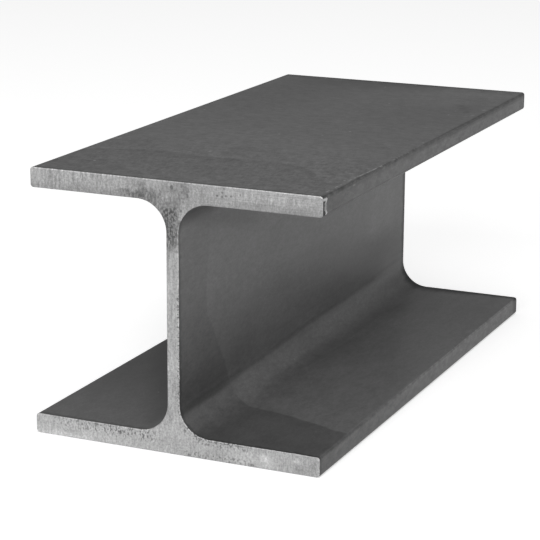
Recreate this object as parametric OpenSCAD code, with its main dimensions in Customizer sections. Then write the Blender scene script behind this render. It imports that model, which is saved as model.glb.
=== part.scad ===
// A short length of rolled wide-flange H-section, sawn square at both ends.
// It lies on one flange with its web upright. X runs across the flanges,
// Y along the length and Z up. The origin is the middle of the underside.

/* [Section] */
// Width across the flanges
flange_w = 120; // [80:1:300]
// Depth over both flanges
section_h = 106; // [90:1:300]
// Thickness of the flanges
flange_t = 8; // [6:0.5:20]
// Thickness of the web
web_t = 5; // [4:0.5:14]
// Radius of the fillets between web and flanges
root_r = 12; // [6:0.5:20]
// Rounding of the four flange toes
toe_r = 1.2; // [0.5:0.1:2.5]

/* [Length] */
// Length from saw cut to saw cut
cut_length = 240; // [60:5:1200]

/* [Hidden] */
$fn = 96;
// How far a cutting shape reaches past the steel that it cuts
lap = 1;
half_w = flange_w / 2;
// Clear depth between the flanges
channel_h = section_h - 2 * flange_t;

// A square corner less the arc of radius r that is tangent to its two sides
module corner_piece(r) {
    difference() {
        translate([-lap, -lap]) square(r + lap);
        translate([r, r]) circle(r);
    }
}

// The open channel on the right of the web, with a rounded corner at each root
module channel_outline() {
    difference() {
        translate([web_t / 2, 0]) square([half_w - web_t / 2 + lap, channel_h]);
        translate([web_t / 2, 0]) corner_piece(root_r);
        translate([web_t / 2, channel_h]) mirror([0, 1]) corner_piece(root_r);
    }
}

// What the two rounded toe corners of a right-hand flange lose
module toe_roundings() {
    translate([half_w, 0]) mirror([1, 0]) corner_piece(toe_r);
    translate([half_w, flange_t]) rotate(180) corner_piece(toe_r);
}

module right_side_cuts() {
    translate([0, flange_t]) channel_outline();
    toe_roundings();
    translate([0, section_h - flange_t]) toe_roundings();
}

// The rolled outline, standing on the outer face of its lower flange
module rolled_outline() {
    difference() {
        translate([-half_w, 0]) square([flange_w, section_h]);
        right_side_cuts();
        mirror([1, 0]) right_side_cuts();
    }
}

module h_section() {
    color([0.38, 0.38, 0.38])
        rotate([90, 0, 0])
            linear_extrude(cut_length, center = true)
                rolled_outline();
}

h_section();
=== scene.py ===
import math

import bpy
import numpy as np
from mathutils import Matrix, Vector
from mathutils.geometry import delaunay_2d_cdt


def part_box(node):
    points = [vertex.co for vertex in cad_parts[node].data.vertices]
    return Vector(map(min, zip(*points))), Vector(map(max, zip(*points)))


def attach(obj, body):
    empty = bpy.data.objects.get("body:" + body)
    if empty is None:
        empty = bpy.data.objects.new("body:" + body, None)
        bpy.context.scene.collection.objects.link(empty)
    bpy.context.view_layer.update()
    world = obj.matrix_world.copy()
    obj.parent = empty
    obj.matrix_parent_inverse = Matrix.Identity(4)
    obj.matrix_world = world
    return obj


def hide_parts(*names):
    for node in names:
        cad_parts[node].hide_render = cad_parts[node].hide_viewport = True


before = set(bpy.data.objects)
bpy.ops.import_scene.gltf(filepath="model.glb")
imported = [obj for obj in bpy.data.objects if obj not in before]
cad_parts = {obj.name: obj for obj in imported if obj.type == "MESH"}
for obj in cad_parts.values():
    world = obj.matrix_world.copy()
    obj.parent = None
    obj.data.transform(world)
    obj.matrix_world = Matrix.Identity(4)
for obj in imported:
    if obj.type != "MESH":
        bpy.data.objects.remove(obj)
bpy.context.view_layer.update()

# The rolled length: one piece of structural steel with two flanges, a web and
# four root fillets, squeezed to this outline between the mill's rolls and left
# with its grey mill scale. A saw cut it off square at both ends.
low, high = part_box("h_section")
skin_allowance = 0.00015
half_width = (high[0] - low[0]) / 2 - skin_allowance
half_length = (high[1] - low[1]) / 2 - skin_allowance
underside = low[2] + skin_allowance
topside = high[2] - skin_allowance
flange_thickness = 0.008
lower_face = low[2] + flange_thickness
upper_face = high[2] - flange_thickness
half_web = 0.0025
root_radius = 0.012
toe_radius = 0.0012

# How finely the outline is divided, by length on its flats and by count on its bends
skin_step = 0.0008
toe_step = 0.0005
root_pieces = 24
toe_pieces = 4


def straight(start, end, step=skin_step):
    """Evenly spaced points from start up to, but without, end."""
    start, end = Vector(start), Vector(end)
    count = max(1, round((end - start).length / step))
    return [start.lerp(end, k / count) for k in range(count)]


def bend(centre, radius, first_deg, last_deg, pieces):
    """Points on an arc about centre, without the last one."""
    turn = last_deg - first_deg
    angles = [math.radians(first_deg + turn * k / pieces) for k in range(pieces)]
    return [Vector((centre[0] + radius * math.cos(angle), centre[1] + radius * math.sin(angle)))
            for angle in angles]


def flange_toe(lower_z, upper_z, inset):
    """The toe of a right-hand flange, from its lower face round to its upper face."""
    centre_x, radius = half_width - toe_radius, toe_radius - inset
    lower_centre = (centre_x, lower_z + toe_radius)
    upper_centre = (centre_x, upper_z - toe_radius)
    side = half_width - inset
    return (bend(lower_centre, radius, -90, 0, toe_pieces)
            + straight((side, lower_centre[1]), (side, upper_centre[1]), toe_step)
            + bend(upper_centre, radius, 0, 90, toe_pieces))


def rolled_outline(inset=0.0):
    """The section in X and Z, or a line inside it, anticlockwise from the underside's middle."""
    toe_flat = half_width - toe_radius
    root_x = half_web + root_radius
    lower_root = (root_x, lower_face + root_radius)
    upper_root = (root_x, upper_face - root_radius)
    web = half_web - inset
    right = (straight((0, underside + inset), (toe_flat, underside + inset))
             + flange_toe(underside, lower_face, inset)
             + straight((toe_flat, lower_face - inset), (root_x, lower_face - inset))
             + bend(lower_root, root_radius + inset, 270, 180, root_pieces)
             + straight((web, lower_root[1]), (web, upper_root[1]))
             + bend(upper_root, root_radius + inset, 180, 90, root_pieces)
             + straight((root_x, upper_face + inset), (toe_flat, upper_face + inset))
             + flange_toe(upper_face, topside, inset)
             + straight((toe_flat, topside - inset), (0, topside - inset)))
    left = [Vector((-p.x, p.y)) for p in reversed(right[1:])]
    return right + [Vector((0, topside - inset))] + left


# The sawn face has two rings of points just inside its edge, for the rounded
# arris, and a grid inside them that is close enough to carry the saw's marks
arris_rings = (0.00015, 0.00035)
cut_step_across = 0.00045
cut_step_upright = 0.0009
cut_grid_gap = 0.0006
weld_distance = 1e-7


def edge_distance(points, ring):
    """How far each point lies from the ring, and whether it is inside."""
    inside = np.zeros(len(points), bool)
    nearest = np.full(len(points), np.inf)
    for a, b in zip(ring, np.roll(ring, -1, axis=0)):
        edge = b - a
        along = np.clip(((points - a) @ edge) / (edge @ edge), 0, 1)
        away = np.linalg.norm(points - (a + along[:, None] * edge), axis=1)
        nearest = np.minimum(nearest, away)
        if a[1] != b[1]:
            crosses = (a[1] > points[:, 1]) != (b[1] > points[:, 1])
            meets_at = a[0] + (points[:, 1] - a[1]) * edge[0] / edge[1]
            inside ^= crosses & (points[:, 0] < meets_at)
    return nearest, inside


def cut_face_mesh():
    """One sawn face as fine triangles at y = 0, with each point's distance from the edge in mm."""
    outline = rolled_outline()
    ring = np.array([tuple(p) for p in outline])
    across = np.arange(-half_width, half_width, cut_step_across)
    upright = np.arange(underside, topside, cut_step_upright)
    grid = np.array(np.meshgrid(across, upright)).reshape(2, -1).T
    nearest, inside = edge_distance(grid, ring)
    inner = [p for inset in arris_rings for p in rolled_outline(inset)]
    inner += [Vector(p) for p in grid[inside & (nearest > cut_grid_gap)]]
    points, _, faces, *_ = delaunay_2d_cdt(outline + inner, [], [list(range(len(outline)))], 1,
                                           weld_distance)
    mesh = bpy.data.meshes.new("cut_face")
    mesh.from_pydata([(p.x, 0, p.y) for p in points], [], faces)
    from_edge = edge_distance(np.array([tuple(p) for p in points]), ring)[0] * 1000
    mesh.attributes.new("from_edge", "FLOAT", "POINT").data.foreach_set("value", from_edge)
    return mesh


class Net:
    """Adds nodes to a tree and joins them. A value that is a socket is linked, any other is set."""

    def __init__(self, tree):
        self.tree = tree

    def feed(self, socket, value):
        if isinstance(value, bpy.types.NodeSocket):
            self.tree.links.new(value, socket)
        else:
            socket.default_value = value

    def node(self, kind, settings=None, **values):
        new = self.tree.nodes.new(kind)
        for key, value in (settings or {}).items():
            setattr(new, key, value)
        for key, value in values.items():
            self.feed(new.inputs[key.replace("_", " ")], value)
        return new

    def chain(self, kind, operation, values):
        new = self.node(kind, {"operation": operation})
        for socket, value in zip(new.inputs, values):
            self.feed(socket, value)
        return new.outputs

    def math(self, operation, *values):
        return self.chain("ShaderNodeMath", operation, values)[0]

    def vector(self, operation, *values):
        return self.chain("ShaderNodeVectorMath", operation, values)["Vector"]

    def length(self, value):
        return self.chain("ShaderNodeVectorMath", "LENGTH", [value])["Value"]

    def scaled(self, value, factor):
        return self.node("ShaderNodeVectorMath", {"operation": "SCALE"}, Vector=value,
                         Scale=factor).outputs[0]

    def parts(self, value):
        return self.node("ShaderNodeSeparateXYZ", Vector=value).outputs

    def product(self, result, *others):
        for other in others:
            result = self.math("MULTIPLY", result, other)
        return result

    def total(self, result, *others):
        for other in others:
            result = self.math("ADD", result, other)
        return result

    def more(self, *amounts):
        """1 plus the product of the amounts."""
        return self.math("ADD", 1.0, self.product(*amounts))

    def less(self, *amounts):
        """1 less the product of the amounts."""
        return self.math("SUBTRACT", 1.0, self.product(*amounts))

    def off(self, value, centre):
        """How far a value is from the centre, either way."""
        return self.math("ABSOLUTE", self.math("SUBTRACT", value, centre))

    def step(self, value, start, end, before=0.0, after=1.0):
        """Goes smoothly from one number to another while the value goes from start to end."""
        return self.node("ShaderNodeMapRange", {"interpolation_type": "SMOOTHSTEP"}, Value=value,
                         From_Min=start, From_Max=end, To_Min=before, To_Max=after).outputs[0]

    def band(self, value, start, full, fading=None, gone=None):
        """Goes from 0 to 1 between the first two numbers, and back between the last two."""
        rise = self.step(value, start, full)
        return rise if gone is None else self.product(rise, self.step(value, gone, fading))

    def noise(self, place, stretch, seed, detail=2.0, roughness=0.5):
        """Noise drawn out by the stretch. Another seed is another part of its endless pattern."""
        shift = seed if isinstance(seed, bpy.types.NodeSocket) else (seed, seed, seed)
        drawn = self.vector("MULTIPLY_ADD", place, stretch, shift)
        return self.node("ShaderNodeTexNoise", Vector=drawn, Scale=1.0, Detail=detail,
                         Roughness=roughness).outputs[0]

    def sway(self, noise, amount, reach=0.25):
        """Goes from -amount to amount while the noise goes from 0.5 - reach to 0.5 + reach."""
        return self.step(noise, 0.5 - reach, 0.5 + reach, -amount, amount)

    def vary(self, noise, amount):
        """A factor about 1 that follows the noise."""
        return self.step(noise, 0.25, 0.75, 1 - amount, 1 + amount)

    def curve(self, value, points, most):
        """A smooth line through the points. None of them is higher than most."""
        start, span = points[0][0], points[-1][0] - points[0][0]
        share = self.math("DIVIDE", self.math("SUBTRACT", value, start), span)
        new = self.node("ShaderNodeFloatCurve", Value=share)
        spots = [((across - start) / span, height / most) for across, height in points]
        line = new.mapping.curves[0].points
        line[0].location, line[1].location = spots[0], spots[-1]
        for spot in spots[1:-1]:
            line.new(*spot)
        new.mapping.update()
        return self.product(new.outputs[0], most)


class Finish(Net):
    """A material's net, with the place on the piece in mm and a shade built up mark by mark."""

    bump_depth = 0.00005

    def __init__(self, name):
        self.material = bpy.data.materials.new(name)
        self.material.use_nodes = True
        super().__init__(self.material.node_tree)
        self.shader = self.tree.nodes["Principled BSDF"]
        metres = self.node("ShaderNodeTexCoord").outputs["Object"]
        self.place = self.vector("MULTIPLY", metres, (1000, 1000, 1000))
        self.axes = tuple(self.parts(self.place))
        self.shade = 1.0

    def darker(self, *amounts):
        self.shade = self.product(self.shade, self.less(*amounts))

    def paler(self, *amounts):
        self.shade = self.product(self.shade, self.more(*amounts))

    def dress(self, grey, metallic, roughness, height, bump_strength):
        """Gives the shader its colour, its gloss and a relief that is too fine to model."""
        bump = self.node("ShaderNodeBump", Strength=bump_strength, Distance=self.bump_depth,
                         Height=height)
        for name, value in (("Base Color", grey), ("Metallic", metallic),
                            ("Roughness", roughness), ("Normal", bump.outputs[0])):
            self.feed(self.shader.inputs[name], value)
        return self.material


def marked(net, flat, *groups):
    """How much soft-edged marks change the shade. Each mark is its place and its reach both ways
    and how much paler it is, and each group comes with the softness of its edges."""
    shade = 1.0
    for marks, soft in groups:
        for across, along, reach_across, reach_along, paler in marks:
            offset = net.vector("SUBTRACT", flat, (across, along, 0))
            shrunk = net.vector("MULTIPLY", offset, (1 / reach_across, 1 / reach_along, 0))
            shade = net.product(shade, net.step(net.length(shrunk), 1.0 + soft, 1.0 - soft,
                                                1.0, 1.0 + paler))
    return net.math("SUBTRACT", shade, 1.0)


# Where an old tide line lies, in mm from the near cut. In the right channel it
# is given against x - z, which runs down the web and out along the flange.
tide_most = 60.0
channel_tide = [(-106, 30), (-75, 27), (-63, 24.5), (-51, 23.3), (-42, 28), (-33, 34), (-27, 37.5),
                (-17, 42.5), (-5, 43), (4, 42), (20, 39), (35, 34), (43, 31), (60, 27)]
top_tide = [(-60, 37), (-43, 45.7), (-25, 48), (-8, 45.5), (9, 46.5), (27, 45.7), (38, 39.5),
            (47, 28), (60, 18)]

# How much paler the lower flange is beyond the tide line, against mm from the near cut. This
# pale film is partly a stain and partly painted light.
film_and_light_most = 0.5
film_and_light = [(0, 0.49), (48, 0.49), (68, 0.46), (88, 0.37), (108, 0.34), (148, 0.36), (168, 0.30),
        (188, 0.23), (208, 0.15), (240, 0.11)]

# Pale and dark patches and specks on the top, each as x, y, reach in x, reach
# in y and how much paler it is
top_patches = [(8, -76, 60, 50, 0.06), (0, -42, 70, 24, 0.03), (0, 60, 90, 40, -0.03),
               (-42, 62, 26, 46, -0.10), (-22, 114, 34, 18, -0.22), (-30, 90, 26, 20, -0.06),
               (33, 92, 11, 20, 0.08), (38, 40, 22, 28, -0.07), (-20, 5, 26, 20, -0.03),
               (0, -118, 70, 14, 0.07), (-50, -113, 20, 12, -0.08), (42, 112, 18, 12, 0.10),
               (-8, 114, 26, 12, -0.08), (-42, 74, 22, 26, -0.04), (-48, -62, 12, 9, -0.08),
               (-25, -77, 13, 5, -0.08), (-1, -58, 5, 9, -0.10), (49, 66, 6, 12, -0.10)]
top_specks = [(-5, -81, 1.6, 3.6, -0.2), (3, -77, 1.3, 3.0, -0.18), (48, 69, 1.8, 4.0, -0.22),
              (52, 60, 1.3, 3.0, -0.2), (45, 74, 1.2, 3.0, -0.18), (56.8, 53.8, 0.8, 1.8, 0.5),
              (57.4, 68, 0.7, 1.6, 0.45), (55, 50, 0.8, 1.6, 0.25), (-11.3, -64.2, 0.7, 1.5, 0.5),
              (-18.3, -69, 0.7, 1.5, 0.4), (-56, -56.2, 0.6, 1.6, 0.45),
              (54.6, -79.9, 1.1, 1.0, 0.35), (52.4, -96.5, 1.6, 0.8, 0.3)]

# Soft fields of painted shade and light on the right of the web and its lower root, with one
# # faint rolling line at z 25: the mm in z and in y between which each fades in and out, and how
# # much paler it is. Where y has two numbers, the field runs on to the far cut.
light_shade_and_line_fields = [((16.5, 19, 34, 44), (55, 85), -0.20),
                  ((27, 31, 38, 46), (18, 34, 60, 80), -0.06),
                  ((36, 44, 64, 74), (64, 84, 98, 112), 0.15),
                  ((21, 25, 30, 36), (40, 56), -0.08),
                  ((37, 43, 50, 56), (-46, -30, 20, 44), -0.07),
                  ((15, 18, 20, 24), (98, 108), -0.14),
                  ((11, 13, 17.5, 19), (-10, 30, 75, 95), 0.10),
                  ((17.5, 19.5, 24, 30), (-40, 20, 50, 80), 0.10),
                  ((24.2, 25.0, 25.4, 26.2), (-50, -20), -0.07)]


def past_tide(net, across, from_near, wander, tide):
    """Mm past the tide line, less than 0 on the side of the near cut."""
    return net.math("SUBTRACT", net.math("SUBTRACT", from_near, wander),
                    net.curve(across, tide, tide_most))


def shade_top(net, on_top, from_near, from_far, wander):
    """The top: patches, specks, a tide line with a darker near side, mottled darkening at the far
    cut, and painted shade along its rounded left edge.
    """
    x, y = net.axes[:2]
    flat = net.node("ShaderNodeCombineXYZ", X=x, Y=y).outputs[0]
    net.paler(on_top, marked(net, flat, (top_patches, 0.6), (top_specks, 0.4)))
    past = past_tide(net, x, from_near, wander, top_tide)
    faded = net.step(x, 50.0, 26.0, 0.3, 1.0)
    net.darker(on_top, net.step(past, 1.0, -1.0), 0.07)
    net.darker(on_top, net.band(past, -7.0, -2.0, -0.6, 0.4), faded, 0.09)
    net.paler(on_top, net.band(past, -0.4, 0.8, 1.0, 5.0), faded, 0.06)
    # Mottled darkening towards the far cut
    far_darkening = net.step(net.noise(net.place, (0.16, 0.1, 0.2), 109.0, 4.0, 0.7), 0.3, 0.7)
    net.darker(on_top, net.step(from_far, 16.0, 2.0), net.step(far_darkening, 0.0, 1.0, 0.05, 0.28))
    # Painted shade along the top's rounded left edge
    net.darker(on_top, net.step(x, -57.6, -58.8), net.step(y, -60.0, 10.0), 0.3)


def shade_channel(net, from_near, wander):
    """The right channel: dark on the near side of its tide line, which is a stain deepened low on
    the web by painted shade, with a pale film beyond it that is partly painted light. How far round
    it a place lies is told by x - z. Gives back where the channel is, and its web."""
    x, y, z = net.axes
    round_root = net.math("SUBTRACT", x, z)
    past = past_tide(net, round_root, from_near, wander, channel_tide)
    near_side = net.step(past, 0.9, -0.9)
    beyond = net.step(past, -0.9, 0.9)
    in_channel = net.product(net.band(x, 1.5, 2.0, 58.9, 59.2), net.band(z, 7.0, 7.5, 98.2, 98.6))
    on_flange = net.product(in_channel, net.step(round_root, -6.0, 1.0))
    on_root = net.product(in_channel, net.band(round_root, -14.0, -11.0, -6.0, -1.0))
    on_web = net.product(in_channel, net.step(round_root, -14.0, -20.0))
    # Darker on the near side of the tide line: a stain, with painted shade low on the web
    net.darker(near_side, on_flange, net.step(from_near, 4.0, 30.0, 0.14, 0.0))
    net.darker(near_side, on_web, net.step(z, 84.0, 40.0, 0.08, 0.17))
    net.paler(near_side, on_root, 0.06)
    # The pale film beyond the tide line, partly painted light
    net.paler(beyond, in_channel, net.curve(from_near, film_and_light, film_and_light_most),
              net.step(round_root, -24.0, -14.0), net.step(round_root, -14.0, 18.0, 0.35, 1.0))
    net.paler(net.step(net.math("ABSOLUTE", past), 1.3, 0.3), in_channel, 0.03)

    # Painted shade on the flange beside the root, and patches of painted light and shade further
    # out
    net.darker(in_channel, net.step(net.off(round_root, 0.5), 6.5, 1.0),
               net.step(y, -72.0, -34.0), net.step(y, 60.0, 100.0, 0.17, 0.22))
    net.paler(in_channel, net.band(round_root, 3.0, 7.0, 12.0, 24.0),
              net.band(y, 8.0, 36.0, 58.0, 84.0), 0.14)
    net.darker(in_channel, beyond, net.band(round_root, 0.0, 5.0, 8.0, 20.0),
               net.band(y, -74.0, -56.0, -40.0, -18.0), 0.10)
    net.darker(in_channel, net.band(round_root, -16.0, -10.0, 10.0, 24.0),
               net.step(y, 90.0, 112.0), 0.10)
    net.paler(on_flange, net.step(net.off(x, 33.0), 15.0, 6.0), 0.04)
    return in_channel, on_web


def shade_web(net, in_channel, on_web):
    """Painted light and shade on the web: it pales upward, more so at the far end, where a painted
    shadow edge slants across it, and a dark slanting streak of painted shade lies near its top.
    """
    y, z = net.axes[1:]
    # Painted shade low in the channel and painted light up the web
    net.paler(in_channel, net.step(z, 28.0, 64.0, -0.08, 0.21))
    # A painted shadow edge slants across the far web, lighter above it
    shadow_slant = net.math("MULTIPLY_ADD", y, 0.25, z)
    far_web = net.product(on_web, net.step(y, 0.0, 26.0))
    net.paler(far_web, net.step(shadow_slant, 57.0, 67.0), 0.06)
    net.darker(far_web, net.step(shadow_slant, 65.0, 51.0), net.step(y, 20.0, 50.0, 0.06, 0.17))
    # A streak of painted shade under the upper root near the cut
    from_shade_streak = net.off(net.math("MULTIPLY_ADD", y, 0.244, z), 65.604)
    net.darker(on_web, net.step(from_shade_streak, 7.5, 1.0),
               net.band(y, -130.0, -108.0, -64.0, -40.0), 0.24)
    for upright, along, paler in light_shade_and_line_fields:
        net.paler(in_channel, net.band(z, *upright), net.band(y, *along), paler)


def shade_lower_root(net, in_channel):
    """The rolls left fine dark lines just above the lower root, which drift up along the length.
    Above them lies painted shade, and along the fillet a painted reflection.
    """
    x, y, z = net.axes
    height = net.total(net.step(y, -84.0, -60.0, 16.9, 17.9), net.step(y, -50.0, 20.0, 0.0, 1.5),
                       net.step(y, 40.0, 110.0, 0.0, 2.4))
    reach = net.step(y, -84.0, -60.0, 2.4, 1.7)
    depth = net.total(net.step(y, -30.0, 40.0, 0.27, 0.08), net.step(y, 60.0, 96.0, 0.0, 0.14),
                      net.step(y, -74.0, -90.0, 0.0, 0.20))
    net.darker(in_channel, net.step(net.off(z, height), reach, 0.3), depth)
    net.darker(in_channel, net.step(net.off(z, 18.45), 1.3, 0.3),
               net.step(y, -50.0, -80.0, 0.0, 0.24), net.step(y, -112.0, -106.0, 0.3, 1.0))
    # Painted shade on the web above the root, deepest near the cut
    root_shade = net.noise(net.place, (0.2, 0.1, 0.2), 67.0, 3.0, 0.6)
    net.darker(in_channel, net.band(z, 18.6, 19.8, 20.0, 36.0),
               net.step(root_shade, 0.3, 0.6, 0.06, 0.14), net.step(y, 10.0, -90.0))
    # A painted reflection along the lower root's fillet
    net.paler(in_channel, net.band(z, 8.4, 10.5, 14.6, 17.0), net.step(x, 13.5, 10.0), 0.12)


def shade_left(net, from_near):
    """Painted shade on the left of the lower flange: it darkens away from the cut, and more towards
    the web.
    """
    x, y, z = net.axes
    left_inner = net.product(net.step(x, -2.0, -3.0), net.band(z, 7.0, 7.5, 20.0, 60.0))
    net.paler(left_inner, net.step(from_near, 10.0, 80.0, 0.12, -0.30))
    # Painted shadow of the web, deeper towards it and away from the cut
    inward = net.math("MULTIPLY_ADD", y, 0.511, x)
    net.darker(left_inner, net.step(z, 16.0, 9.0), net.step(inward, -77.0, -65.0), 0.27)


def shade_toes(net, from_near):
    """The toes are rubbed in patches, and their rounded edges carry painted shade and a painted
    highlight. Gives back where they are, and where their undersides are.
    """
    x, y, z = net.axes
    side = net.math("ABSOLUTE", x)
    on_toe = net.step(side, 59.0, 59.5)
    rubbed = net.noise(net.place, (0.1, 0.16, 0.4), 61.0, 4.0, 0.75)
    net.darker(on_toe, net.step(rubbed, 0.34, 0.66, 0.36, 0.0))
    net.darker(on_toe, net.step(z, 90.0, 98.0), net.step(y, -86.0, -98.0), 0.12)
    net.paler(on_toe, net.step(z, 90.0, 98.0), net.step(net.off(y, 6.0), 40.0, 10.0), 0.12)
    net.paler(on_toe, net.step(z, 20.0, 10.0), net.step(from_near, 0.0, 180.0, -0.18, 0.12))

    # Rounded edges: painted shade on the upper flange's top and underside, a painted highlight on
    # the lower
    net.darker(net.step(net.off(side, 59.3), 0.3, 0.1), net.step(z, 104.9, 105.3), 0.26)
    net.darker(on_toe, net.band(z, 102.8, 104.1, 104.7, 105.2),
               net.step(y, -100.0, 60.0, 0.14, 0.46))
    # Painted shade on the upper toe's underside
    under_toe = net.product(net.step(side, 58.2, 59.0), net.band(z, 97.0, 97.6, 99.0, 99.6))
    net.darker(under_toe, 0.3)
    # A painted highlight along the lower toe's rounded top edge
    shine = net.total(net.step(z, 6.2, 7.4, 0.0, 0.5), net.step(z, 7.4, 7.85, 0.0, 0.5))
    net.paler(net.step(side, 59.05, 59.45), net.step(z, 9.0, 8.4), shine,
              net.step(y, -110.0, -20.0, 0.3, 1.0))
    return on_toe, under_toe


def shade_rims(net, from_near, from_far, on_toe):
    """The far cut's rim is darker, and the near one's has a fainter painted shadow of its burr."""
    x, _, z = net.axes
    ragged = net.noise(net.place, (0.3, 0.0, 0.3), 71.0, 2.0)
    far_darkening = net.product(net.step(x, 56.0, 14.0, 1.3, 2.6), net.step(z, 22.0, 9.0, 0.5, 1.0),
                        net.step(x, 2.0, 14.0, 0.8, 1.0))
    far_darkening = net.total(far_darkening, net.product(on_toe, net.step(z, 9.0, 8.0), 0.8))
    far_rim = net.product(net.step(ragged, 0.3, 0.7, 3.4, 5.0), far_darkening)
    net.darker(net.step(net.math("DIVIDE", from_far, far_rim), 1.0, 0.1),
               net.step(z, 104.0, 105.0, 0.92, 0.6))
    # Painted shadow of the burr along the near cut's rim
    near_rim = net.step(ragged, 0.3, 0.7, 1.6, 3.4)
    net.darker(net.step(net.math("DIVIDE", from_near, near_rim), 1.0, 0.4), 0.34)


def nicks_and_flecks(net, in_channel):
    """Bare nicks and a gouge along the near half of the upper right edge, and small bright flecks
    all over, fainter in the channel."""
    x, y, z = net.axes
    nick_line = net.step(y, -100.0, -60.0, 57.9, 59.2)
    nicked = net.noise(net.place, (0.3, 0.22, 0.3), 83.0, 3.0, 0.7)
    nick = net.product(net.step(net.off(x, nick_line), 0.4, 0.15), net.step(z, 105.0, 105.3),
                       net.step(nicked, 0.46, 0.60), net.step(y, 0.0, -60.0, 0.1, 0.8))
    gouge = net.product(net.step(x, 59.0, 59.4), net.step(net.off(y, -90.5), 1.6, 0.9),
                        net.step(net.off(z, 104.2), 0.5, 0.2), 0.4)
    dots = net.node("ShaderNodeTexVoronoi", Vector=net.place, Scale=0.12, Randomness=1.0).outputs
    chosen = net.step(net.parts(dots["Color"])[0], 0.5, 0.52)
    fleck = net.product(net.step(dots["Distance"], 0.08, 0.04), chosen,
                        net.step(in_channel, 0.0, 1.0, 1.0, 0.25))
    return net.math("MAXIMUM", nick, gouge), fleck


def turned_lip(net, from_near):
    """A bright lip that the saw turned over the near toe of the upper right flange, and painted
    shade in the crease behind it."""
    x, _, z = net.axes
    off_middle = net.off(z, 101.7)
    wave = net.math("SUBTRACT", net.noise(net.place, (0.0, 0.0, 1.1), 97.0, 3.0, 0.7), 0.5)
    from_lip = net.total(from_near, net.product(wave, 2.2),
                         net.step(off_middle, 0.8, 2.4, 0.3, -0.5))
    on_lip = net.product(net.step(x, 59.3, 59.6), net.band(z, 98.5, 98.9, 104.6, 105.2))
    lip = net.product(on_lip, net.step(net.off(from_lip, 2.5), 1.0, 0.5),
                      net.step(off_middle, 0.8, 2.2, 0.5, 1.2))
    hook = net.product(on_lip, net.step(z, 103.6, 104.2), net.step(from_lip, 2.6, 2.0), 1.2)
    # Painted shade in the crease behind the lip
    net.darker(on_lip, net.step(from_lip, 1.7, 1.2), net.step(z, 104.2, 103.6), 0.55)
    return net.math("MAXIMUM", lip, hook)


scale_grey = 0.125
bare_grey = 0.38


def mill_scale():
    """Thin dark oxide from the rolls, with rolling grain and blotches under all its marks."""
    net = Finish("mill_scale")
    place, (_, y, z) = net.place, net.axes
    from_near = net.math("ADD", y, half_length * 1000)
    from_far = net.math("SUBTRACT", half_length * 1000, y)
    on_top = net.step(z, 104.0, 104.6)
    grain = net.noise(place, (0.55, 0.22, 0.55), 11.0, 4.0, 0.75)
    pepper = net.noise(place, (1.5, 0.7, 1.5), 19.0, 2.0, 0.6)
    blotch = net.noise(place, (0.035, 0.02, 0.035), 31.0, 4.0, 0.6)
    patch = net.noise(place, (0.15, 0.08, 0.15), 47.0, 3.0, 0.6)
    dashes = net.sway(net.noise(place, (0.22, 0.5, 0.3), 131.0, 4.0, 0.75), 0.16, 0.2)
    speckle = net.product(net.total(net.sway(grain, 0.16), net.sway(pepper, 0.08)),
                          net.more(on_top, net.step(from_near, 90.0, 40.0)))
    net.shade = net.product(net.total(1.0, speckle, net.product(dashes, on_top)),
                            net.vary(blotch, 0.06), net.vary(patch, 0.05))

    wander = net.noise(place, (0.12, 0.0, 0.12), 53.0, 2.0)
    wander = net.product(net.math("SUBTRACT", wander, 0.5), 4.0)
    shade_top(net, on_top, from_near, from_far, wander)
    in_channel, on_web = shade_channel(net, from_near, wander)
    shade_web(net, in_channel, on_web)
    shade_lower_root(net, in_channel)
    shade_left(net, from_near)
    on_toe, under_toe = shade_toes(net, from_near)
    shade_rims(net, from_near, from_far, on_toe)

    nick, fleck = nicks_and_flecks(net, in_channel)
    spots = net.math("MAXIMUM", net.product(nick, 0.45), net.product(fleck, 0.4))
    bare = net.math("MAXIMUM", turned_lip(net, from_near), spots)
    grey = net.total(net.product(net.shade, scale_grey), net.product(bare, bare_grey))
    roughness = net.total(net.step(blotch, 0.25, 0.75, 0.43, 0.50), net.sway(grain, 0.03))
    height = net.total(net.product(grain, 0.8), net.product(pepper, 0.4), net.product(patch, 0.8),
                       net.product(fleck, 0.8))
    net.feed(net.shader.inputs["Specular IOR Level"], net.step(under_toe, 0.0, 1.0, 0.25, 0.15))
    return net.dress(grey, 0.12, roughness, height, bump_strength=0.45)


# What lies on the near cut: dark smears round the head of the web, pits and
# rubbed places, each as x, z, reach in x, reach in z and how much paler it is
sawn_grey = 0.35
smears = [(-15.5, 99.6, 4.5, 1.9, -0.32), (-9.8, 99.3, 5.4, 2.6, -0.44),
          (-12.7, 102.2, 2.2, 1.6, -0.24), (-4.2, 95, 3.4, 3.2, -0.42), (1.5, 99.5, 5, 4.6, -0.24),
          (5.2, 102.6, 1.5, 2.8, -0.26), (1.2, 94.2, 2.6, 3.0, -0.32),
          (-1.0, 90.8, 3.8, 5.4, -0.66), (-0.4, 83, 3.8, 4.4, -0.62), (-21, 98.6, 6.5, 1.8, -0.28),
          (-37, 101.5, 12, 5.5, -0.10)]
pits = [(-0.1, 103.5, 0.6, 0.9, -0.5), (6.2, 100.9, 0.5, 0.7, -0.45),
        (18.3, 102.1, 0.5, 0.4, -0.5), (20.3, 101.9, 0.4, 0.4, -0.5),
        (20.4, 103.5, 0.4, 0.4, -0.45), (21.8, 102.3, 0.5, 0.4, -0.5),
        (24.0, 102.4, 0.5, 0.4, -0.45), (21.0, 105.0, 0.5, 0.3, -0.4),
        (27.6, 103.2, 0.3, 0.5, -0.3), (2.0, 61.2, 0.5, 0.6, -0.5), (2.0, 58.5, 0.5, 0.6, -0.5),
        (32.6, 0.9, 0.8, 0.5, -0.5), (-23, 5.4, 0.8, 0.8, -0.4)]
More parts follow.
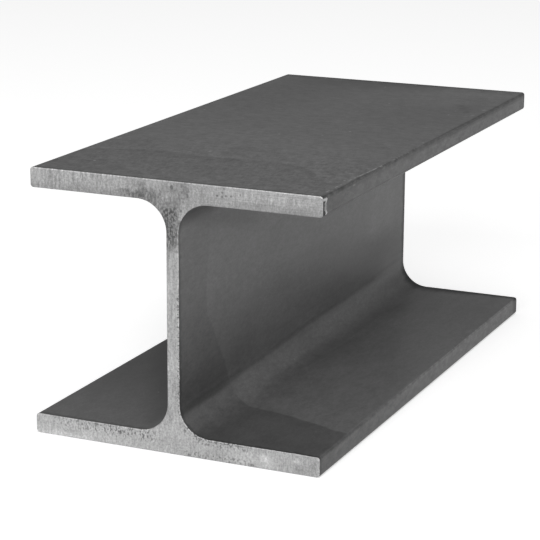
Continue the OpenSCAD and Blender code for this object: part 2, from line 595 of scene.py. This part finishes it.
rubs = [(37.0, 4.4, 1.8, 1.4, 0.22), (39.5, 3.2, 1.6, 1.5, 0.2), (50.7, 5.2, 1.4, 1.0, 0.34),
        (46.3, 6.6, 0.35, 1.0, 0.2), (57.4, 3.6, 1.3, 2.6, -0.16), (52.0, 2.2, 2.0, 1.4, -0.12),
        (30, 102.2, 8, 1.5, 0.05), (44, 101.2, 9, 1.6, 0.05), (-2.2, 99.2, 2.4, 1.4, 0.25),
        (0, 72, 4, 6.5, -0.08), (34, 2.6, 11, 3.6, 0.15), (51.5, 4, 6.5, 6, -0.09),
        (-48, 0.6, 12, 1.4, 0.18), (-38, 7.4, 8, 1.4, -0.12), (0, 103.8, 5, 2.6, -0.11),
        (19, 102, 8, 5, -0.05)]


def sawn_steel():
    """Bare sawn steel, with upright saw marks, mottling, smears, pits, and painted highlights on
    the arrises, strongest along the top one.
    """
    net = Finish("sawn_steel")
    place, (x, y, z) = net.place, net.axes
    mottle = net.noise(place, (1.2, 1.0, 0.9), 12.0, 3.0, 0.7)
    tooth = net.noise(place, (0.8, 1.0, 0.13), 27.0, 2.0, 0.6)
    cloud = net.noise(place, (0.13, 1.0, 0.13), 37.0, 3.0, 0.6)
    grit = net.noise(place, (1.2, 1.0, 0.75), 73.0, 1.0)
    fine = net.noise(place, (1.9, 1.0, 1.5), 139.0, 1.0)
    tooth_zone = net.step(net.noise(place, (0.05, 1.0, 0.12), 43.0, 1.0), 0.4, 0.6, 0.5, 1.0)
    calm = net.product(net.step(z, 16.0, 8.0, 1.0, 0.5),
                       net.less(net.step(x, 4.0, 16.0), net.step(z, 92.0, 96.0), 0.55))
    level_lines = net.product(net.sway(net.noise(place, (0.07, 1.0, 2.2), 149.0, 1.0), 0.10, 0.2),
                              net.step(x, 8.0, 20.0), net.step(z, 94.0, 98.0))
    dashes = net.product(net.step(net.noise(place, (1.1, 1.0, 0.2), 151.0, 1.0), 0.50, 0.58),
                         net.step(net.off(z, 102.4), 2.2, 1.0),
                         net.step(net.off(x, 38.0), 17.0, 12.0), 0.20)
    net.shade = net.product(net.more(net.sway(mottle, 0.22), net.step(calm, 0.44, 0.5, 0.7, 1.0)),
                            net.more(net.sway(tooth, 0.24, 0.2), tooth_zone, calm),
                            net.vary(cloud, 0.10), net.total(1.0, level_lines, dashes),
                            net.vary(fine, 0.12))

    # The upper flange is a little greyer, more so low down, and the lower one is palest on the left
    head = net.step(z, 92.0, 99.0)
    foot = net.step(z, 14.0, 8.0)
    net.shade = net.product(net.shade, net.total(
        1.0, net.product(head, net.step(net.off(x, 2.0), 24.0, 10.0), -0.09),
        net.product(head, net.step(x, -55.0, 60.0, -0.08, -0.14)),
        net.product(head, net.step(z, 103.6, 98.8), net.step(x, 22.0, 30.0), -0.19),
        net.product(head, net.step(z, 101.4, 98.8), net.step(x, -20.0, -28.0), -0.12),
        net.product(foot, net.step(x, -40.0, 30.0, 0.20, 0.02))))

    # Dark grit: thin all over, and thick on the lower flange's left and along the lower right root
    from_edge = net.node("ShaderNodeAttribute", {"attribute_name": "from_edge"}).outputs["Fac"]
    near = net.step(y, 0.0, -1.0)
    flange_grit = net.product(net.band(x, -57.0, -48.0, -12.0, -4.0),
                              net.band(z, 2.6, 5.0, 8.2, 9.0),
                              net.step(x, -52.0, -24.0, 0.5, 1.0), near, 0.50)
    root_grit = net.product(net.band(x, 2.0, 4.0, 26.0, 36.0), net.step(z, 24.0, 16.0),
                            net.step(from_edge, 3.4, 1.4), near, 0.42)
    net.darker(net.step(grit, 0.52, 0.62), net.total(0.10, flange_grit, root_grit))

    # Smears with broken, wandering edges, pits, rubbed places, and torn specks on the web's right
    flat = net.node("ShaderNodeCombineXYZ", X=x, Y=z).outputs[0]
    warp = net.node("ShaderNodeTexNoise", Vector=place, Scale=0.5, Detail=3.0).outputs["Color"]
    warp = net.vector("MULTIPLY", net.vector("SUBTRACT", warp, (0.5, 0.5, 0.5)), (7, 7, 0))
    net.paler(marked(net, net.vector("ADD", flat, warp), (smears, 0.6)),
              net.step(grit, 0.40, 0.58, 0.66, 1.12), near, net.step(z, 76.0, 81.5))
    pitted = net.product(marked(net, flat, (pits, 0.3)), near)
    net.paler(pitted)
    net.paler(marked(net, flat, (rubs, 0.5)), near)
    torn = net.product(net.band(x, 1.0, 1.6, 28.0, 34.0), net.band(z, 1.5, 3.0, 60.0, 66.0),
                       net.step(from_edge, 1.1, 0.5),
                       net.step(net.noise(place, (1.3, 0.0, 1.3), 59.0, 1.0), 0.53, 0.60), near)
    net.darker(torn, 0.6)

    # Painted highlights along the arrises
    top_glint = net.step(net.noise(place, (0.5, 0.0, 0.0), 103.0, 2.0, 0.7), 0.35, 0.65, 0.5, 1.3)
    net.shade = net.product(net.shade, net.total(
        1.0, net.product(net.step(from_edge, 0.6, 0.3), net.step(z, 105.0, 105.3), top_glint, 0.6),
        net.product(net.step(from_edge, 0.4, 0.15), net.band(z, 7.0, 7.4, 8.5, 9.5), 0.34),
        net.product(net.step(from_edge, 0.5, 0.2), net.step(x, 2.0, 2.3),
                    net.band(z, 62.0, 68.0, 86.0, 90.0), 0.25)))
    height = net.total(net.product(tooth, 1.2), net.product(mottle, 0.8),
                       net.product(pitted, 3.0), net.product(torn, -2.5))
    return net.dress(net.product(net.shade, sawn_grey), 0.4,
                     net.step(mottle, 0.25, 0.75, 0.5, 0.38), height, bump_strength=0.5)


scale_finish = mill_scale()
sawn_finish = sawn_steel()

# The sizes that the sweep below takes, in metres apart from the rows, their crowding and the seed
sweep_sizes = {"Half length": half_length, "Rows": 71, "Crowding at the cuts": 2.4,
               "Wave depth": 0.00005, "Arris": 0.00012, "Saw mark depth": 0.00005,
               "Burr height": 0.00025, "Lip depth": 0.0002, "Seed": 3.0}
# How close two points are welded into one, and how close to the cut a point is on it
touching = 1e-6


def sweep_tree():
    """Sweeps the sawn face's edge along the length, closes both ends and adds the fine relief."""
    group = bpy.data.node_groups.new("rolled_length", "GeometryNodeTree")
    net = Net(group)
    for way in ("OUTPUT", "INPUT"):
        group.interface.new_socket("Steel", in_out=way, socket_type="NodeSocketGeometry")
    for name, size in sweep_sizes.items():
        kind = "NodeSocketInt" if isinstance(size, int) else "NodeSocketFloat"
        group.interface.new_socket(name, in_out="INPUT", socket_type=kind)
    given = net.node("NodeGroupInput").outputs
    half, seed = given["Half length"], given["Seed"]

    # The rail runs along Y, and its rows crowd towards both saw cuts
    rail = net.node("GeometryNodeCurvePrimitiveLine", Start=(0, -1, 0), End=(0, 1, 0)).outputs[0]
    rail = net.node("GeometryNodeResampleCurve", Curve=rail, Count=given["Rows"]).outputs[0]
    place = net.node("GeometryNodeInputPosition").outputs[0]
    x, y, z = net.parts(place)
    side = net.math("SIGN", y)
    from_end = net.less(net.math("ABSOLUTE", y))
    crowded = net.less(net.math("POWER", from_end, given["Crowding at the cuts"]))
    station = net.node("ShaderNodeCombineXYZ", Y=net.product(crowded, side, half)).outputs[0]
    rail = net.node("GeometryNodeSetPosition", Geometry=rail, Position=station).outputs[0]

    # The skin is the sawn face's open edge, swept along the rail
    faces_beside = net.node("GeometryNodeInputMeshEdgeNeighbors").outputs[0]
    open_edge = net.node("FunctionNodeCompare", {"data_type": "INT", "operation": "EQUAL"})
    net.feed(open_edge.inputs[2], faces_beside)
    net.feed(open_edge.inputs[3], 1)
    ring = net.node("GeometryNodeMeshToCurve", Mesh=given["Steel"],
                    Selection=open_edge.outputs[0]).outputs[0]
    ring = net.node("GeometryNodeTransform", Geometry=ring,
                    Rotation=(math.pi / 2, 0, 0)).outputs[0]
    skin = net.node("GeometryNodeCurveToMesh", Curve=rail, Profile_Curve=ring).outputs[0]

    # A sawn face closes each end, and the edges are welded
    cut = net.node("GeometryNodeStoreNamedAttribute", {"data_type": "BOOLEAN", "domain": "FACE"},
                   Geometry=given["Steel"], Name="sawn", Value=True).outputs[0]
    to_near = net.node("ShaderNodeCombineXYZ", Y=net.product(half, -1.0)).outputs[0]
    to_far = net.node("ShaderNodeCombineXYZ", Y=half).outputs[0]
    near = net.node("GeometryNodeTransform", Geometry=cut, Translation=to_near).outputs[0]
    far = net.node("GeometryNodeTransform", Geometry=cut, Translation=to_far).outputs[0]
    far = net.node("GeometryNodeFlipFaces", Mesh=far).outputs[0]
    body = net.node("GeometryNodeJoinGeometry")
    for piece in (far, near, skin):
        net.feed(body.inputs[0], piece)
    body = net.node("GeometryNodeMergeByDistance", Geometry=body.outputs[0],
                    Distance=touching).outputs[0]

    # Long shallow waves from the rolls
    normal = net.node("GeometryNodeInputNormal").outputs[0]
    wave = net.math("SUBTRACT", net.noise(place, (45, 14, 45), seed), 1.0)
    waves = net.scaled(normal, net.product(wave, given["Wave depth"]))

    # The sawn face stands forward of its rounded arris, and the saw's teeth scored it upright
    from_edge = net.node("GeometryNodeInputNamedAttribute", {"data_type": "FLOAT"},
                         Name="from_edge").outputs[0]
    cut_from = net.math("SUBTRACT", half, touching)
    on_cut = net.math("GREATER_THAN", net.math("ABSOLUTE", y), cut_from)
    raised = net.product(net.step(from_edge, 0.0, 0.35), given["Arris"])
    scored = net.product(net.noise(place, (900, 0, 50), seed, 3.0), given["Saw mark depth"],
                         net.step(from_edge, 0.3, 1.0))
    forward = net.product(net.math("SUBTRACT", raised, scored), side, on_cut)
    saw = net.node("ShaderNodeCombineXYZ", Y=forward).outputs[0]

    # A ragged burr stands off the channel faces beside each cut, most of it low on the near right
    sideways = net.vector("NORMALIZE", net.vector("MULTIPLY", normal, (1, 0, 1)))
    from_cut = net.math("SUBTRACT", half, net.math("ABSOLUTE", y))
    near_end = net.math("LESS_THAN", y, 0.0)
    on_skin = net.math("LESS_THAN", from_edge, 0.01)
    beside = net.product(net.step(from_cut, 0.0011, 0.0002),
                         net.step(net.math("ABSOLUTE", x), half_width - 0.0005, half_width - 0.002),
                         net.band(z, underside + 0.0005, underside + 0.003,
                                  topside - 0.003, topside - 0.0005))
    heavy = net.product(near_end, net.step(x, 0.0, 0.002), net.step(z, 0.075, 0.062), 0.8)
    torn_off = net.noise(place, (70, 300, 70), seed, 1.0)
    ragged = net.product(net.step(net.noise(place, (800, 0, 800), seed, 2.0), 0.42, 0.62),
                         net.step(torn_off, 0.40, 0.60, 0.25, 1.0))
    stand = net.product(beside, on_skin, ragged, net.total(heavy, 0.2), given["Burr height"])

    # The saw turned a lip over the near toe of the upper right flange, and left the lower toe wavy
    on_toe = net.product(near_end, net.step(x, half_width - 0.001, half_width - 0.0003), on_skin)
    creased = net.step(net.off(from_cut, 0.0008), 0.0007, 0.0002)
    beaded = net.product(net.step(net.off(from_cut, 0.0023), 0.0011, 0.0004), 0.4)
    lip = net.product(net.band(z, 0.0982, 0.0990, 0.1046, 0.1053),
                      net.math("SUBTRACT", beaded, creased))
    low_wave = net.step(net.noise(place, (0, 0, 700), seed, 1.0), 0.35, 0.65, -0.9, 0.4)
    low_toe = net.product(net.step(z, 0.008, 0.007), net.step(from_cut, 0.0011, 0.0001), low_wave)
    turned = net.product(on_toe, net.total(lip, low_toe), given["Lip depth"])
    burr = net.scaled(sideways, net.total(stand, turned))
    relief = net.vector("ADD", net.vector("ADD", waves, saw), burr)
    body = net.node("GeometryNodeSetPosition", Geometry=body, Offset=relief).outputs[0]

    sawn = net.node("GeometryNodeInputNamedAttribute", {"data_type": "BOOLEAN"},
                    Name="sawn").outputs[0]
    body = net.node("GeometryNodeSetShadeSmooth", Geometry=body).outputs[0]
    body = net.node("GeometryNodeRealizeInstances", Geometry=body).outputs[0]
    body = net.node("GeometryNodeSetMaterial", Geometry=body, Material=scale_finish).outputs[0]
    body = net.node("GeometryNodeSetMaterial", Geometry=body, Selection=sawn,
                    Material=sawn_finish).outputs[0]
    net.node("NodeGroupOutput", Steel=body)
    return group


def grown(name, mesh, group, sizes):
    """The plain mesh that a node group makes from a source mesh, as a new object."""
    source = bpy.data.objects.new(name + "_source", mesh)
    bpy.context.scene.collection.objects.link(source)
    modifier = source.modifiers.new(group.name, "NODES")
    modifier.node_group = group
    for socket in group.interface.items_tree:
        if socket.name in sizes:
            modifier[socket.identifier] = sizes[socket.name]
    finished = source.evaluated_get(bpy.context.evaluated_depsgraph_get())
    result = bpy.data.meshes.new_from_object(finished)
    bpy.data.objects.remove(source)
    # The swept skin brings an empty first slot, which no face uses once the finishes are set
    if result.materials[0] is None:
        result.materials.pop(index=0)
    made = bpy.data.objects.new(name, result)
    bpy.context.scene.collection.objects.link(made)
    return made


steel = grown("rolled_h_section", cut_face_mesh(), sweep_tree(), sweep_sizes)
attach(steel, "root")
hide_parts("h_section")

# The floor is a plain sheet of white paint. It reads white to the camera, and
# it keeps the steel's soft shadow.
floor_half = 6.0
floor_corners = [(-floor_half, -floor_half, 0), (floor_half, -floor_half, 0),
                 (floor_half, floor_half, 0), (-floor_half, floor_half, 0)]
floor_mesh = bpy.data.meshes.new("floor")
floor_mesh.from_pydata(floor_corners, [], [(0, 1, 2, 3)])
floor = bpy.data.objects.new("floor", floor_mesh)
bpy.context.scene.collection.objects.link(floor)
floor_finish = bpy.data.materials.new("floor_paint")
floor_finish.use_nodes = True
floor_net = Net(floor_finish.node_tree)
paint = floor_finish.node_tree.nodes["Principled BSDF"]
paint.inputs["Base Color"].default_value = (0.9, 0.9, 0.9, 1)
paint.inputs["Roughness"].default_value = 0.9
paint.inputs["Specular IOR Level"].default_value = 0.0
seen = floor_net.node("ShaderNodeLightPath").outputs
seen_white = floor_net.total(seen["Is Camera Ray"], seen["Is Glossy Ray"],
                             seen["Is Transmission Ray"])
glow = floor_net.node("ShaderNodeEmission", Color=(1, 1, 1, 1),
                      Strength=floor_net.product(seen_white, 0.5))
both = floor_net.node("ShaderNodeAddShader")
floor_net.feed(both.inputs[0], paint.outputs[0])
floor_net.feed(both.inputs[1], glow.outputs[0])
floor_output = floor_finish.node_tree.nodes["Material Output"]
floor_net.feed(floor_output.inputs["Surface"], both.outputs[0])
floor_mesh.materials.append(floor_finish)

# The camera stands in front of the near cut, to its right and a little above,
# with a long lens.
azimuth = math.radians(24.107)
elevation = math.radians(14.902)
roll = math.radians(0.309)
distance = 0.7483
aim = Vector((0.0255, -0.0888, 0.0677))
frame_pixels = 540
focal_pixels = 1977.3
back = Vector((math.sin(azimuth) * math.cos(elevation), -math.cos(azimuth) * math.cos(elevation),
               math.sin(elevation)))
level_right = Vector((0, 0, 1)).cross(back).normalized()
level_up = back.cross(level_right)
camera_right = math.cos(roll) * level_right + math.sin(roll) * level_up
camera_up = math.cos(roll) * level_up - math.sin(roll) * level_right
lens = bpy.data.cameras.new("camera")
lens.sensor_width = 36
lens.lens = focal_pixels / frame_pixels * lens.sensor_width
lens.clip_start = 0.01
camera = bpy.data.objects.new("camera", lens)
camera.matrix_world = Matrix((camera_right, camera_up, back)).transposed().to_4x4()
camera.location = aim + back * distance
bpy.context.scene.collection.objects.link(camera)
bpy.context.scene.camera = camera

# Soft studio light from three square panels in a pale room: one overhead, a
# strong one behind the camera and a weak one low on the right. Each is given
# by its name, its place, its side in metres and its watts.
panels = [("overhead", (0.1, -0.2, 1.7), 1.6, 4.4),
          ("behind_camera", (0.3, -1.7, 0.75), 1.2, 24.4),
          ("low_right", (1.6, -0.3, 0.35), 1.0, 1.2)]
panel_aim = Vector((0, 0, 0.05))
room_strength = 0.35
world = bpy.data.worlds.new("room")
world.use_nodes = True
bpy.context.scene.world = world
room = world.node_tree.nodes["Background"]
room.inputs["Color"].default_value = (1, 1, 1, 1)
room.inputs["Strength"].default_value = room_strength
for name, stands_at, panel_side, watts in panels:
    panel_data = bpy.data.lights.new(name, "AREA")
    panel_data.shape = "SQUARE"
    panel_data.size = panel_side
    panel_data.energy = watts
    panel = bpy.data.objects.new(name, panel_data)
    panel.location = stands_at
    panel.rotation_euler = (Vector(stands_at) - panel_aim).to_track_quat("Z", "Y").to_euler()
    bpy.context.scene.collection.objects.link(panel)

bpy.context.scene.view_settings.view_transform = "Standard"
